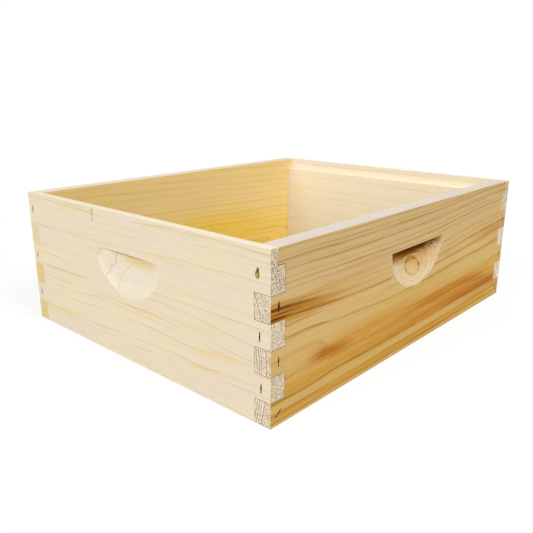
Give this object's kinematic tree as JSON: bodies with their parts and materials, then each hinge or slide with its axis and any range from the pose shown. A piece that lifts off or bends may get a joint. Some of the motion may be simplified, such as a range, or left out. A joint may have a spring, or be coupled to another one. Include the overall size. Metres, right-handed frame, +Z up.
{
  "type": "beehive super",
  "caption": "Open wooden beehive box of finger-jointed, stapled pine boards, with frame rests inside the ends and a dished handhold in each face.",
  "frame": {"origin": "middle of the box's footprint, on the surface it stands on", "axes": "+Z up, +Y from the front end board to the rear end board along the side boards, +X from the left side board to the right side board"},
  "size_m": [0.4128, 0.5048, 0.1683],
  "materials": {
    "end_pine": "bare planed pine, pale cream, unpainted",
    "side_pine": "bare planed pine, warm tan with darker grain, unpainted",
    "staple_wire": "galvanised flattened wire"
  },
  "bodies": {
    "root": {"front_end_board": "end_pine", "rear_end_board": "end_pine", "left_side_board": "side_pine", "right_side_board": "side_pine", "front_end_left_staple_1": "staple_wire", "front_end_left_staple_2": "staple_wire", "front_end_left_staple_3": "staple_wire", "left_side_front_staple_1": "staple_wire", "left_side_front_staple_2": "staple_wire", "left_side_front_staple_3": "staple_wire", "front_end_right_staple_1": "staple_wire", "front_end_right_staple_2": "staple_wire", "front_end_right_staple_3": "staple_wire", "right_side_front_staple_1": "staple_wire", "right_side_front_staple_2": "staple_wire", "right_side_front_staple_3": "staple_wire", "rear_end_left_staple_1": "staple_wire", "rear_end_left_staple_2": "staple_wire", "rear_end_left_staple_3": "staple_wire", "left_side_rear_staple_1": "staple_wire", "left_side_rear_staple_2": "staple_wire", "left_side_rear_staple_3": "staple_wire", "rear_end_right_staple_1": "staple_wire", "rear_end_right_staple_2": "staple_wire", "rear_end_right_staple_3": "staple_wire", "right_side_rear_staple_1": "staple_wire", "right_side_rear_staple_2": "staple_wire", "right_side_rear_staple_3": "staple_wire"}
  },
  "joints": []
}
